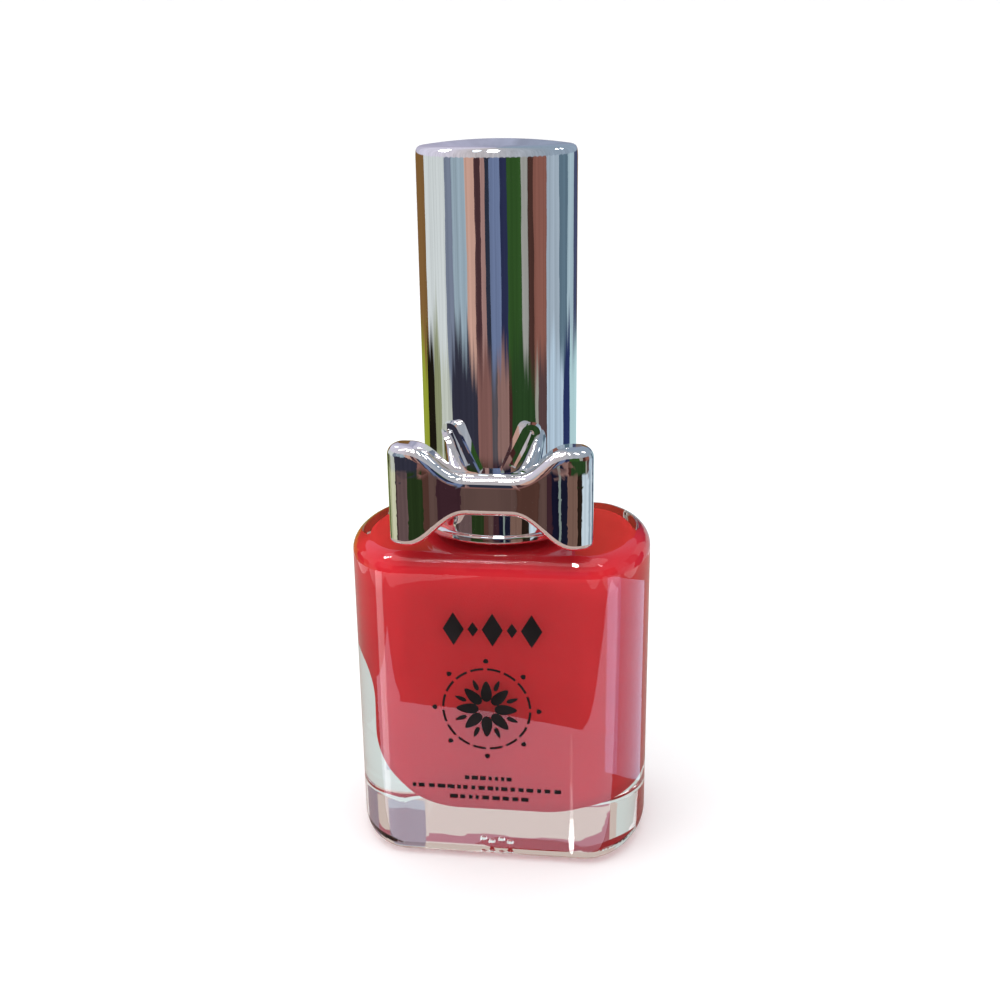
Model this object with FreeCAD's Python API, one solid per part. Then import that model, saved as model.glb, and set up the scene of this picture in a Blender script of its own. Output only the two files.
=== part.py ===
"""Nail polish bottle: flat glass bottle, lacquer, brush, and a chromed cap with a bow.

Millimetres. The origin is the centre of the bottle's base, +Z is up, and the bow faces -Y.
Each sub-part is written to parts/NODE.step.
"""
import FreeCAD, Part
import math
import os

V = FreeCAD.Vector
UP = V(0, 0, 1)
ORIGIN = V(0, 0, 0)

# ---- glass bottle: plan is a flat front and back with elliptical ends
BODY_HALF_WIDTH = 17.5
BODY_HALF_DEPTH = 11.5
BODY_FLAT = 10.5            # half length of the flat front and back
SHOULDER_Z = 38.0
SHOULDER_ROUND = 2.0
HEEL_ROUND = 2.0
FRONT_WALL = 1.8
CAVITY_FLOOR_Z = 5.2
CAVITY_CEILING_Z = SHOULDER_Z - FRONT_WALL
CAVITY_CEILING_ROUND = 1.2
CAVITY_END_START = 9.0      # where the cavity's round end starts on the front and back walls
CAVITY_END_PULL = 26 / 3    # pull of the end's curve at both walls, for a half ellipse 6.5 long

# The left end's glass is thicker low down, and more so at the back: start and pull at each wall there.
THICK_END_FRONT = (10.5, 7.2)
THICK_END_BACK = (5.5, 1.2)
THICK_BELOW_Z = 18.0        # fully thick from here down
THIN_ABOVE_Z = 30.0

# The floor curves up to the walls: run and rise of each quarter ellipse.
FLOOR_ROUND_DEPTH = (3.6, 3.6)
FLOOR_ROUND_LEFT = (8.5, 9.0)
FLOOR_ROUND_LEFT_BACK = 0.75    # the back of the left end moves in by this share of the front's
FLOOR_ROUND_RIGHT = (4.8, 6.2)
FLOOR_SECTIONS = 8
END_SECTIONS = 6
PUNT_DEPTH = 0.5            # shallow recess under the base
PUNT_MARGIN = 3.2
MOULD_DOT_R = 0.45

# ---- neck, 13-415 finish with 12 threads per inch
NECK_R = 5.7
THREAD_CREST_R = 6.45
NECK_BORE_R = 3.5
NECK_HEIGHT = 11.4
RIM_Z = SHOULDER_Z + NECK_HEIGHT
NECK_ROOT_ROUND = 0.8
PITCH = 25.4 / 12
NECK_TURNS = 1.5
THREAD_Z = 42.4             # mid height of the neck thread where it starts
THREAD_BASE = 1.1
THREAD_TIP = 0.45
BITE = 0.1                  # depth that a thread is sunk into its wall

# ---- lacquer and the steel balls that stir it
FILL_Z = 35.6
WELL_R = 2.1                # clear space that the brush stands in
WELL_FLOOR_Z = 6.3
BALL_R = 2.0
BALL_FILM = 0.02            # lacquer stops this far short of a ball
BALL_Z = CAVITY_FLOOR_Z + BALL_R + 0.08
BALL_CENTRES = {"left": V(-2.2, -4.0, BALL_Z), "right": V(6.0, -1.0, BALL_Z)}

# ---- inner screw cap
SKIRT_BOTTOM_Z = SHOULDER_Z + 1.4
SCREW_CAP_R = 7.3
SCREW_CAP_BORE_R = 6.57
SCREW_CAP_RIDGE_R = 5.85
RIDGE_BASE = 0.75
RIDGE_TIP = 0.4
RIDGE_DROP = 0.8            # the cap's ridge sits this far under the neck's thread
RIDGE_TURNS = 1.25
LINER_THICK = 0.8
CEILING_Z = RIM_Z + LINER_THICK
PLATE_THICK = 2.2
TOWER_TOP_Z = 64.0
TOWER_WALL = 1.0
RIB_COUNT = 16
RIB_WIDTH = 0.9
BOSS_R = 2.9
BOSS_BOTTOM_Z = 46.6
BOSS_TOP_Z = 54.8

# ---- seal liner
LINER_R = 5.6
LINER_HOLE_R = 3.0
FACE_GAP = 0.02             # between flat faces of different bodies

# ---- brush
SOCKET_R = 1.85
SOCKET_TOP_Z = 53.8
HEAD_R = 1.8
HEAD_TOP_Z = 53.6
SNAP_Z = 51.0               # mid height of the head's snap ring
SNAP_R = 2.2
SNAP_HALF = 0.4
RUN_CLEARANCE = 0.05
STEM_TIP_Z = 18.5
STEM_TIP_R = 1.35
TUFT_HOLE_R = 1.0
TUFT_HOLE_TOP_Z = 22.5
TUFT_BULGE_R = 1.65
TUFT_BULGE_Z = 11.5
TUFT_TIP_R = 1.0
TUFT_TIP_Z = 7.0
ANCHOR_Z = 21.6
ANCHOR_SIZE = V(2.4, 0.3, 0.9)

# ---- chromed overcap
OVERCAP_R = 8.75
OVERCAP_BORE_R = 7.6
OVERCAP_BOTTOM_Z = SHOULDER_Z + 0.7
OVERCAP_TOP_Z = 81.9        # middle of the slightly crowned top
OVERCAP_BORE_TOP_Z = 80.0
OVERCAP_EDGE_START = (OVERCAP_R, 80.1)  # radius and Z where the side starts to round into the crown
OVERCAP_EDGE_PULLS = ((OVERCAP_R, 81.0), (8.6, 81.25))
OVERCAP_EDGE_END = (7.9, 81.35)
OVERCAP_CROWN_PULLS = ((5.5, 81.69), (2.8, OVERCAP_TOP_Z))
LIP_R = 9.1
LIP_HEIGHT = 1.05
LIP_ROUND = 0.34

# ---- bow: half outline seen from the front, in X and Z, and half outline seen from above, in X and Y
BOW_REACH = 14.0            # the front outline runs past the ends, which the plan outline shapes
BOW_TOP_Z = 50.4
BOW_BOTTOM_Z = OVERCAP_BOTTOM_Z + 0.2
KNOT_HALF_WIDTH = 2.5
KNOT_TOP_Z = 47.2
KNOT_BOTTOM_Z = 42.7
LOBE_TOP_X = 8.8            # where the lobe's level top starts to fall to the knot
LOBE_BOTTOM_X = 9.4
SWEEP = 2.9                 # how far each outline curve runs level at its ends
BOW_HALF_WIDTH = 11.3
BOW_BACK_Y = -7.2
KNOT_FRONT_Y = -11.05
LOBE_CREST = (6.4, -11.4)   # foremost line of a lobe's bulging front
LOBE_END = (9.7, -9.3)      # centre of a lobe's round end
BOW_TOP_ROUND = 1.3
BOW_BOTTOM_ROUND = 0.7

# ---- the two ribbon loops that stand up from the knot against the cap
EAR_FOOT = (1.5, 46.2)
EAR_HEAD = (4.4, 51.5)
EAR_FOOT_HALF = 0.75
EAR_HEAD_HALF = 1.0
EAR_THICK = 1.0
EAR_EDGE_ROUND = 0.3
EAR_SLOT_HALF = 0.38
EAR_SLOT_DEPTH = 0.55


def obround(half_width, half_depth, flat, z):
    """Face at height z with flat front and back and half-elliptical ends."""
    edges = []
    for side in (1, -1):
        centre = V(side * flat, 0, z)
        ellipse = Part.Ellipse(centre + V(0, half_depth, 0), V(side * half_width, 0, z), centre)
        edges.append(Part.Arc(ellipse, 0, math.pi).toShape())
        edges.append(Part.makeLine(V(-flat, side * half_depth, z), V(flat, side * half_depth, z)))
    return Part.Face(Part.Wire(Part.__sortEdges__(edges)))


def edges_at(shape, z):
    """Edges that lie wholly at height z."""
    return [e for e in shape.Edges if abs(e.BoundBox.ZMin - z) < 1e-4 and abs(e.BoundBox.ZMax - z) < 1e-4]


def rod(radius, z_low, z_high):
    return Part.makeCylinder(radius, z_high - z_low, V(0, 0, z_low))


def turned(points):
    """Solid of revolution about Z from a closed outline of (radius, z) points."""
    corners = [V(r, 0, z) for r, z in points]
    face = Part.Face(Part.makePolygon(corners + corners[:1]))
    return face.revolve(ORIGIN, UP, 360)


def helical_ridge(base_r, tip_r, z_start, turns, base_width, tip_width):
    """Trapezoid ridge on a right-hand helix. base_r is in the wall and tip_r is its free edge."""
    path = Part.makeHelix(PITCH, PITCH * turns, min(base_r, tip_r))
    path.translate(V(0, 0, z_start))
    outline = [
        V(base_r, 0, z_start - base_width / 2),
        V(tip_r, 0, z_start - tip_width / 2),
        V(tip_r, 0, z_start + tip_width / 2),
        V(base_r, 0, z_start + base_width / 2),
    ]
    sweep = Part.BRepOffsetAPI.MakePipeShell(Part.Wire(path.Edges))
    sweep.setFrenetMode(True)
    sweep.add(Part.makePolygon(outline + outline[:1]))
    sweep.build()
    sweep.makeSolid()
    ridge = sweep.shape()
    if ridge.Volume < 0:
        ridge.reverse()
    return ridge


def quarter_ellipse_inset(run, rise, height):
    """How far a rounded corner stands in from its wall at a height above the floor."""
    if height >= rise:
        return 0
    return run * (1 - math.sqrt(1 - ((rise - height) / rise) ** 2))


def smooth_step(share):
    share = min(max(share, 0), 1)
    return share * share * (3 - 2 * share)


def between(low, high, share):
    return low + (high - low) * share


def bezier(*poles):
    curve = Part.BezierCurve()
    curve.setPoles(list(poles))
    return curve.toShape()


def cavity_section(height):
    """Outline of the cavity at a height above its floor: straight front and back, and a curve at each end."""
    z = CAVITY_FLOOR_Z + height
    thick = smooth_step((THIN_ABOVE_Z - z) / (THIN_ABOVE_Z - THICK_BELOW_Z))
    full_depth = BODY_HALF_DEPTH - FRONT_WALL
    half_depth = full_depth - quarter_ellipse_inset(*FLOOR_ROUND_DEPTH, height)
    scale = half_depth / full_depth
    inset_left = quarter_ellipse_inset(*FLOOR_ROUND_LEFT, height)
    front_left = between(CAVITY_END_START, THICK_END_FRONT[0], thick) - inset_left
    back_left = between(CAVITY_END_START, THICK_END_BACK[0], thick) - inset_left * FLOOR_ROUND_LEFT_BACK
    front_pull = between(CAVITY_END_PULL, THICK_END_FRONT[1], thick) * scale
    back_pull = between(CAVITY_END_PULL, THICK_END_BACK[1], thick) * scale
    right = CAVITY_END_START - quarter_ellipse_inset(*FLOOR_ROUND_RIGHT, height)
    right_pull = CAVITY_END_PULL * scale
    front = (V(-front_left, -half_depth, z), V(right, -half_depth, z))
    back = (V(right, half_depth, z), V(-back_left, half_depth, z))
    return Part.Wire([
        Part.makeLine(*front),
        bezier(front[1], front[1] + V(right_pull, 0, 0), back[0] + V(right_pull, 0, 0), back[0]),
        Part.makeLine(*back),
        bezier(back[1], back[1] - V(back_pull, 0, 0), front[0] - V(front_pull, 0, 0), front[0]),
    ])


def glass_cavity():
    """Space for the lacquer, below the neck. Its floor curves up into the walls."""
    rise = FLOOR_ROUND_LEFT[1]
    top = THIN_ABOVE_Z - CAVITY_FLOOR_Z
    heights = [rise * (1 - math.cos(math.pi / 2 * i / FLOOR_SECTIONS)) for i in range(FLOOR_SECTIONS + 1)]
    heights += [between(rise, top, i / END_SECTIONS) for i in range(1, END_SECTIONS + 1)]
    bowl = Part.makeLoft([cavity_section(h) for h in heights], True)
    straight = Part.Face(cavity_section(top)).extrude(V(0, 0, CAVITY_CEILING_Z - THIN_ABOVE_Z))
    straight = straight.makeFillet(CAVITY_CEILING_ROUND, edges_at(straight, CAVITY_CEILING_Z))
    return bowl.fuse(straight)


def mould_dots():
    """Four small dimples in the roof of the base recess, near the front."""
    dots = []
    for i in range(4):
        x = 1.1 * (i - 1.5)
        y = -5.6 - 0.9 * (i % 2)
        dots.append(Part.makeSphere(MOULD_DOT_R, V(x, y, PUNT_DEPTH)))
    return dots


def glass_bottle():
    body = obround(BODY_HALF_WIDTH, BODY_HALF_DEPTH, BODY_FLAT, 0).extrude(V(0, 0, SHOULDER_Z))
    body = body.makeFillet(SHOULDER_ROUND, edges_at(body, SHOULDER_Z))
    body = body.makeFillet(HEEL_ROUND, edges_at(body, 0))
    body = body.fuse(rod(NECK_R, SHOULDER_Z - 1, RIM_Z)).removeSplitter()
    root = [
        e for e in edges_at(body, SHOULDER_Z)
        if e.BoundBox.XLength < 2 * NECK_R + 0.1
    ]
    body = body.makeFillet(NECK_ROOT_ROUND, root)
    body = body.makeFillet(NECK_ROOT_ROUND, edges_at(body, RIM_Z))
    thread = helical_ridge(
        NECK_R - BITE, THREAD_CREST_R, THREAD_Z, NECK_TURNS, THREAD_BASE, THREAD_TIP)
    body = body.fuse(thread)
    punt = obround(
        BODY_HALF_WIDTH - PUNT_MARGIN, BODY_HALF_DEPTH - PUNT_MARGIN, BODY_FLAT - 1, -1)
    hollows = [glass_cavity(), rod(NECK_BORE_R, CAVITY_CEILING_Z - 1, RIM_Z + 1)]
    hollows.append(punt.extrude(V(0, 0, 1 + PUNT_DEPTH)))
    return body.cut(hollows + mould_dots())


def nail_lacquer():
    too_high = Part.makeBox(60, 60, 20, V(-30, -30, FILL_Z))
    liquid = glass_cavity().cut([too_high, rod(WELL_R, WELL_FLOOR_Z, FILL_Z + 1)])
    return liquid.cut([Part.makeSphere(BALL_R + BALL_FILM, c) for c in BALL_CENTRES.values()])


def mixing_ball(side):
    return Part.makeSphere(BALL_R, BALL_CENTRES[side])


def inner_screw_cap():
    """Threaded skirt, a plate with the brush socket, and a tower that carries the overcap."""
    plate_top = CEILING_Z + PLATE_THICK
    ribs = []
    for i in range(RIB_COUNT):
        length = OVERCAP_BORE_R - FACE_GAP
        rib = Part.makeBox(length, RIB_WIDTH, TOWER_TOP_Z - SKIRT_BOTTOM_Z, V(0, -RIB_WIDTH / 2, SKIRT_BOTTOM_Z))
        ribs.append(rib.rotated(ORIGIN, UP, 360 * i / RIB_COUNT))
    body = rod(SCREW_CAP_R, SKIRT_BOTTOM_Z, TOWER_TOP_Z).fuse(ribs)
    body = body.common(rod(OVERCAP_BORE_R - FACE_GAP, SKIRT_BOTTOM_Z, TOWER_TOP_Z))
    body = body.cut([
        rod(SCREW_CAP_BORE_R, SKIRT_BOTTOM_Z - 1, CEILING_Z),
        rod(SCREW_CAP_R - TOWER_WALL, plate_top, TOWER_TOP_Z + 1),
    ])
    ridge = helical_ridge(
        SCREW_CAP_BORE_R + BITE, SCREW_CAP_RIDGE_R, THREAD_Z - RIDGE_DROP, RIDGE_TURNS,
        RIDGE_BASE, RIDGE_TIP)
    body = body.fuse([rod(BOSS_R, BOSS_BOTTOM_Z, BOSS_TOP_Z), ridge])
    groove = rod(
        SNAP_R + RUN_CLEARANCE, SNAP_Z - SNAP_HALF - RUN_CLEARANCE, SNAP_Z + SNAP_HALF + RUN_CLEARANCE)
    return body.cut([rod(SOCKET_R, BOSS_BOTTOM_Z - 1, SOCKET_TOP_Z), groove])


def seal_liner():
    ring = rod(LINER_R, RIM_Z + FACE_GAP, CEILING_Z - FACE_GAP)
    return ring.cut(rod(LINER_HOLE_R, RIM_Z, CEILING_Z))


def anchor_plate():
    corner = V(-ANCHOR_SIZE.x / 2, -ANCHOR_SIZE.y / 2, ANCHOR_Z - ANCHOR_SIZE.z / 2)
    return Part.makeBox(ANCHOR_SIZE.x, ANCHOR_SIZE.y, ANCHOR_SIZE.z, corner)


def brush_stem():
    stem = turned([
        (0, STEM_TIP_Z),
        (STEM_TIP_R, STEM_TIP_Z),
        (HEAD_R, BOSS_BOTTOM_Z),
        (HEAD_R, SNAP_Z - SNAP_HALF),
        (SNAP_R, SNAP_Z - SNAP_HALF),
        (SNAP_R, SNAP_Z + SNAP_HALF / 2),
        (HEAD_R, SNAP_Z + SNAP_HALF),
        (HEAD_R, HEAD_TOP_Z),
        (0, HEAD_TOP_Z),
    ])
    hole = rod(TUFT_HOLE_R, STEM_TIP_Z - 1, TUFT_HOLE_TOP_Z)
    return stem.cut([hole, anchor_plate()])


def bristle_tuft():
    """Nylon filaments as one solid: gripped in the stem, fuller below it, rounded at the tip."""
    flare = bezier(
        V(TUFT_HOLE_R, 0, STEM_TIP_Z),
        V(TUFT_HOLE_R, 0, STEM_TIP_Z - 2),
        V(TUFT_BULGE_R, 0, TUFT_BULGE_Z + 4),
        V(TUFT_BULGE_R, 0, TUFT_BULGE_Z))
    tip = bezier(
        V(TUFT_BULGE_R, 0, TUFT_BULGE_Z),
        V(TUFT_BULGE_R, 0, TUFT_BULGE_Z - 2.5),
        V(TUFT_TIP_R, 0, TUFT_TIP_Z),
        V(0, 0, TUFT_TIP_Z))
    corners = [
        V(0, 0, TUFT_TIP_Z),
        V(0, 0, TUFT_HOLE_TOP_Z - 0.1),
        V(TUFT_HOLE_R, 0, TUFT_HOLE_TOP_Z - 0.1),
        V(TUFT_HOLE_R, 0, STEM_TIP_Z),
    ]
    edges = [flare, tip] + Part.makePolygon(corners).Edges
    face = Part.Face(Part.Wire(Part.__sortEdges__(edges)))
    return face.revolve(ORIGIN, UP, 360).cut(anchor_plate())


def chrome_overcap():
    """Closed tube with a crowned top, bored from below, and a lip round its foot."""
    def point(radius_z):
        return V(radius_z[0], 0, radius_z[1])

    edge_start, edge_end = point(OVERCAP_EDGE_START), point(OVERCAP_EDGE_END)
    foot, axis_foot = V(OVERCAP_R, 0, OVERCAP_BOTTOM_Z), V(0, 0, OVERCAP_BOTTOM_Z)
    crown = V(0, 0, OVERCAP_TOP_Z)
    outline = Part.Wire([
        Part.makeLine(foot, edge_start),
        bezier(edge_start, *map(point, OVERCAP_EDGE_PULLS), edge_end),
        bezier(edge_end, *map(point, OVERCAP_CROWN_PULLS), crown),
        Part.makeLine(crown, axis_foot),
        Part.makeLine(axis_foot, foot),
    ])
    shell = Part.Face(outline).revolve(ORIGIN, UP, 360)
    lip_top = OVERCAP_BOTTOM_Z + LIP_HEIGHT
    lip = rod(LIP_R, OVERCAP_BOTTOM_Z, lip_top)
    lip = lip.makeFillet(LIP_ROUND, edges_at(lip, lip_top) + edges_at(lip, OVERCAP_BOTTOM_Z))
    return shell.fuse(lip).cut(rod(OVERCAP_BORE_R, OVERCAP_BOTTOM_Z - 1, OVERCAP_BORE_TOP_Z))


def bow_front_outline():
    """Face of the bow's front view, in the plane Y = 0."""
    edges = []
    for side in (1, -1):
        for x_lobe, z_lobe, z_knot in (
            (LOBE_TOP_X, BOW_TOP_Z, KNOT_TOP_Z),
            (LOBE_BOTTOM_X, BOW_BOTTOM_Z, KNOT_BOTTOM_Z),
        ):
            edges.append(bezier(
                V(side * x_lobe, 0, z_lobe),
                V(side * (x_lobe - SWEEP), 0, z_lobe),
                V(side * (KNOT_HALF_WIDTH + SWEEP), 0, z_knot),
                V(side * KNOT_HALF_WIDTH, 0, z_knot)))
            edges.append(Part.makeLine(V(side * x_lobe, 0, z_lobe), V(side * BOW_REACH, 0, z_lobe)))
        edges.append(Part.makeLine(V(side * BOW_REACH, 0, BOW_TOP_Z), V(side * BOW_REACH, 0, BOW_BOTTOM_Z)))
    for z in (KNOT_TOP_Z, KNOT_BOTTOM_Z):
        edges.append(Part.makeLine(V(-KNOT_HALF_WIDTH, 0, z), V(KNOT_HALF_WIDTH, 0, z)))
    return Part.Face(Part.Wire(Part.__sortEdges__(edges)))


def bow_plan_outline():
    """Face of the bow seen from above at Z = 0: level knot, bulging lobes and round ends."""
    end_x, end_y = LOBE_END
    edges = [
        Part.makeLine(V(-KNOT_HALF_WIDTH, KNOT_FRONT_Y, 0), V(KNOT_HALF_WIDTH, KNOT_FRONT_Y, 0)),
        Part.makeLine(V(-end_x, BOW_BACK_Y, 0), V(end_x, BOW_BACK_Y, 0)),
    ]
    for side in (1, -1):
        knot_edge = V(side * KNOT_HALF_WIDTH, KNOT_FRONT_Y, 0)
        crest = V(side * LOBE_CREST[0], LOBE_CREST[1], 0)
        tip = V(side * BOW_HALF_WIDTH, end_y, 0)
        back = V(side * end_x, BOW_BACK_Y, 0)
        for start, stop, pull_start, pull_stop in (
            (knot_edge, crest, V(side * 1.3, 0, 0), V(side * -1.3, 0, 0)),
            (crest, tip, V(side * 2.9, 0, 0), V(0, -1.3, 0)),
            (tip, back, V(0, 1.2, 0), V(side * 0.9, 0, 0)),
        ):
            edges.append(bezier(start, start + pull_start, stop + pull_stop, stop))
    return Part.Face(Part.Wire(Part.__sortEdges__(edges)))


def ear(side):
    """A ribbon loop that leans outwards, hugging the cap, with a slot sunk down its middle."""
    foot = V(side * EAR_FOOT[0], 0, EAR_FOOT[1])
    head = V(side * EAR_HEAD[0], 0, EAR_HEAD[1])
    along = (head - foot).normalize()
    across = V(-along.z, 0, along.x)

    def paddle(foot_half, head_half, start, stop):
        low, high = foot + along * start, head + along * stop
        edges = [
            Part.makeLine(low + across * foot_half, high + across * head_half),
            Part.Arc(high + across * head_half, high + along * head_half, high - across * head_half).toShape(),
            Part.makeLine(high - across * head_half, low - across * foot_half),
            Part.makeLine(low - across * foot_half, low + across * foot_half),
        ]
        return Part.Face(Part.Wire(edges)).extrude(V(0, -20, 0))

    low_z, high_z = EAR_FOOT[1] - 2, EAR_HEAD[1] + 3
    shell = rod(OVERCAP_R + EAR_THICK, low_z, high_z).cut(rod(OVERCAP_R, low_z, high_z))
    skin = rod(OVERCAP_R + EAR_THICK + 1, low_z, high_z)
    skin = skin.cut(rod(OVERCAP_R + EAR_THICK - EAR_SLOT_DEPTH, low_z, high_z))
    slot = paddle(EAR_SLOT_HALF, EAR_SLOT_HALF, 2.0, 0).common(skin)
    loop = shell.common(paddle(EAR_FOOT_HALF, EAR_HEAD_HALF, 0, 0))
    outer_face = min(loop.Faces, key=lambda f: f.CenterOfMass.y)
    return loop.makeFillet(EAR_EDGE_ROUND, outer_face.Edges).cut(slot)


def bow_ornament():
    front_view = bow_front_outline().extrude(V(0, -20, 0))
    plan_view = bow_plan_outline().extrude(V(0, 0, BOW_TOP_Z + 1))
    plate = front_view.common(plan_view)
    rims = [e for e in plate.Edges if e.BoundBox.XLength > 1e-4]
    middle_z = (KNOT_TOP_Z + KNOT_BOTTOM_Z) / 2
    plate = plate.makeFillet(BOW_BOTTOM_ROUND, [e for e in rims if e.BoundBox.ZMax < middle_z])
    upper_rims = [e for e in plate.Edges if e.BoundBox.ZMin > middle_z and e.BoundBox.XLength > 1e-4]
    plate = plate.makeFillet(BOW_TOP_ROUND, upper_rims)
    plate = plate.cut([
        rod(OVERCAP_R, OVERCAP_BOTTOM_Z - 1, BOW_TOP_Z + 1),
        rod(LIP_R, OVERCAP_BOTTOM_Z - 1, OVERCAP_BOTTOM_Z + LIP_HEIGHT),
    ])
    return plate.fuse([ear(1), ear(-1)])


PARTS = {
    "glass_bottle": glass_bottle,
    "nail_lacquer": nail_lacquer,
    "mixing_ball_left": lambda: mixing_ball("left"),
    "mixing_ball_right": lambda: mixing_ball("right"),
    "seal_liner": seal_liner,
    "brush_stem": brush_stem,
    "bristle_tuft": bristle_tuft,
    "bristle_anchor": anchor_plate,
    "inner_screw_cap": inner_screw_cap,
    "chrome_overcap": chrome_overcap,
    "bow_ornament": bow_ornament,
}

os.makedirs("parts", exist_ok=True)
for node, make in PARTS.items():
    shape = make()
    print(node, "solids", len(shape.Solids), "valid", shape.isValid(), "volume", round(shape.Volume, 1))
    shape.exportStep("parts/" + node + ".step")
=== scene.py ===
import math
import random

import bmesh
import bpy
from mathutils import Matrix, Vector


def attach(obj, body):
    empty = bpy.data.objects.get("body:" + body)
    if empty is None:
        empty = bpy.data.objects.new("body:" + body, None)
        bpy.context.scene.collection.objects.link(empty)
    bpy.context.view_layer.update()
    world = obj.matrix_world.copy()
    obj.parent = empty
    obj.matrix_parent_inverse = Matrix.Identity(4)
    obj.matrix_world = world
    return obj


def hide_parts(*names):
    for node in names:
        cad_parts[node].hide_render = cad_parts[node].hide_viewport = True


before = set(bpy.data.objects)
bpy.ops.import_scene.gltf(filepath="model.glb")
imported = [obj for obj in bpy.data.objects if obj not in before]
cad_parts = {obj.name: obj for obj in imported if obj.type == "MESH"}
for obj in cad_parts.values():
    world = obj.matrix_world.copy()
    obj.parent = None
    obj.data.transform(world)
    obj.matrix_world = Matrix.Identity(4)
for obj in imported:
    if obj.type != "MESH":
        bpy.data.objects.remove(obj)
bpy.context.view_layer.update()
scene = bpy.context.scene
MM = 0.001
random.seed(7)

# ---- sizes shared with the CAD, in millimetres
BODY_HALF_DEPTH = 11.5
CAVITY_FLOOR, CAVITY_CEILING, CEILING_ROUND = 5.2, 36.2, 1.2
CAVITY_HALF_DEPTH = 9.7
# Each end of the cavity: how far from the middle its curve starts, and the reach of the curve's handles.
PLAIN_END, THICK_END_FRONT, THICK_END_BACK = (9.0, 26 / 3), (10.5, 7.2), (5.5, 1.2)
THICK_BELOW, THIN_ABOVE = 18.0, 30.0        # the left wall is thick below the one and plain above the other
# The roundings where the cavity's wall meets its floor, each with its run and its rise.
FLOOR_ROUND_DEPTH, FLOOR_ROUND_LEFT, FLOOR_ROUND_RIGHT = (3.6, 3.6), (8.5, 9.0), (4.8, 6.2)
FLOOR_ROUND_LEFT_BACK = 0.75                # share of the left rounding's run that is left at the back
NECK_BORE_R, WELL_R, WELL_FLOOR, LIQUID_LEVEL = 3.5, 2.1, 6.3, 35.6
STEM_TIP, STEM_TIP_R, STEM_TOP, STEM_TOP_R = 18.5, 1.35, 46.6, 1.8
TUFT_TOP, TUFT_TIP = 22.4, 7.0

# ---- sizes of the visual model and the studio, in millimetres
WET = 0.09                  # the lacquer reaches this far into the glass, so no air shows between them
INK_OUT, INK_IN = 0.004, 0.01               # the print stands out of the glass and is sunk into it by these
FLOOR_Z = -0.03             # just under the glass, so the two never share a surface
FLOOR_R, FLOOR_CURVE_R, BACKDROP_TOP = 1600, 800, 3000
RING_R, RING_TOP = 110, 190
CARD_Z = 0.1                # the lowest level cards lie about this high, just above the floor
WALL_Y, WALL_TOP = 70, 60   # the cards behind the bottle
BACK_Y = 12.2               # just behind the glass
SPARK_CENTRE, SPARK_R = Vector((0, 0, 60)), 125     # the small lamps stand on this ball


# ---------------------------------------------------------------- helpers
def add_mesh(name, verts, faces, smooth, finish):
    """A mesh object from points in millimetres."""
    mesh = bpy.data.meshes.new(name)
    mesh.from_pydata([Vector(v) * MM for v in verts], [], faces)
    mesh.validate()
    bm = bmesh.new()
    bm.from_mesh(mesh)
    bmesh.ops.recalc_face_normals(bm, faces=bm.faces)
    bm.to_mesh(mesh)
    bm.free()
    for p in mesh.polygons:
        p.use_smooth = smooth
    obj = bpy.data.objects.new(name, mesh)
    scene.collection.objects.link(obj)
    mesh.materials.append(finish)
    return obj


def loft(rings, close_start=True, close_end=True):
    """Points and faces that join rings of the same count; each ring is a closed loop of points."""
    count = len(rings[0])
    verts = [p for ring in rings for p in ring]
    faces = []
    for r in range(len(rings) - 1):
        for i in range(count):
            j = (i + 1) % count
            faces.append((r * count + i, r * count + j, (r + 1) * count + j, (r + 1) * count + i))
    if close_start:
        faces.append(tuple(reversed(range(count))))
    if close_end:
        faces.append(tuple(range((len(rings) - 1) * count, len(rings) * count)))
    return verts, faces


def between(low, high, share):
    return low + (high - low) * share


def straight(start, end, count):
    """Evenly spaced points from start up to, but without, end."""
    return [tuple(s + (e - s) * i / count for s, e in zip(start, end)) for i in range(count)]


def curve(a, b, c, d, count):
    """Points along a cubic Bezier curve, without its last one."""
    points = []
    for i in range(count):
        t = i / count
        weights = ((1 - t) ** 3, 3 * t * (1 - t) ** 2, 3 * t * t * (1 - t), t ** 3)
        points.append(tuple(sum(w * p[k] for w, p in zip(weights, (a, b, c, d))) for k in (0, 1)))
    return points


def grow(loop, distance):
    """An anticlockwise loop with each point moved outwards along its normal."""
    out = []
    for i, (x, y) in enumerate(loop):
        (x0, y0), (x1, y1) = loop[i - 1], loop[(i + 1) % len(loop)]
        length = math.hypot(x1 - x0, y1 - y0)
        out.append((x + (y1 - y0) / length * distance, y - (x1 - x0) / length * distance))
    return out


def at_height(loop, z):
    return [(x, y, z) for x, y in loop]


def circle(radius, z, count):
    turn = [math.tau * k / count for k in range(count)]
    return [(radius * math.cos(a), radius * math.sin(a), z) for a in turn]


def circle_like(ring, radius, z):
    """The ring's points drawn in to a circle, each along its own bearing."""
    out = []
    for x, y, _ in ring:
        d = math.hypot(x, y)
        out.append((x / d * radius, y / d * radius, z))
    return out


# ---------------------------------------------------------------- nodes
def material(name, **inputs):
    mat = bpy.data.materials.new(name)
    mat.use_nodes = True
    shader = mat.node_tree.nodes["Principled BSDF"]
    for key, value in inputs.items():
        shader.inputs[key.replace("_", " ")].default_value = value
    return mat, mat.node_tree, shader


def bare_material(name):
    """A material with nothing on its surface yet, its tree and the socket for its surface."""
    mat = bpy.data.materials.new(name)
    mat.use_nodes = True
    tree = mat.node_tree
    tree.nodes.remove(tree.nodes["Principled BSDF"])
    return mat, tree, tree.nodes["Material Output"].inputs["Surface"]


def node(tree, kind, settings=None, **inputs):
    n = tree.nodes.new(kind)
    for key, value in (settings or {}).items():
        setattr(n, key, value)
    for key, value in inputs.items():
        n.inputs[key.replace("_", " ")].default_value = value
    return n


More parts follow.
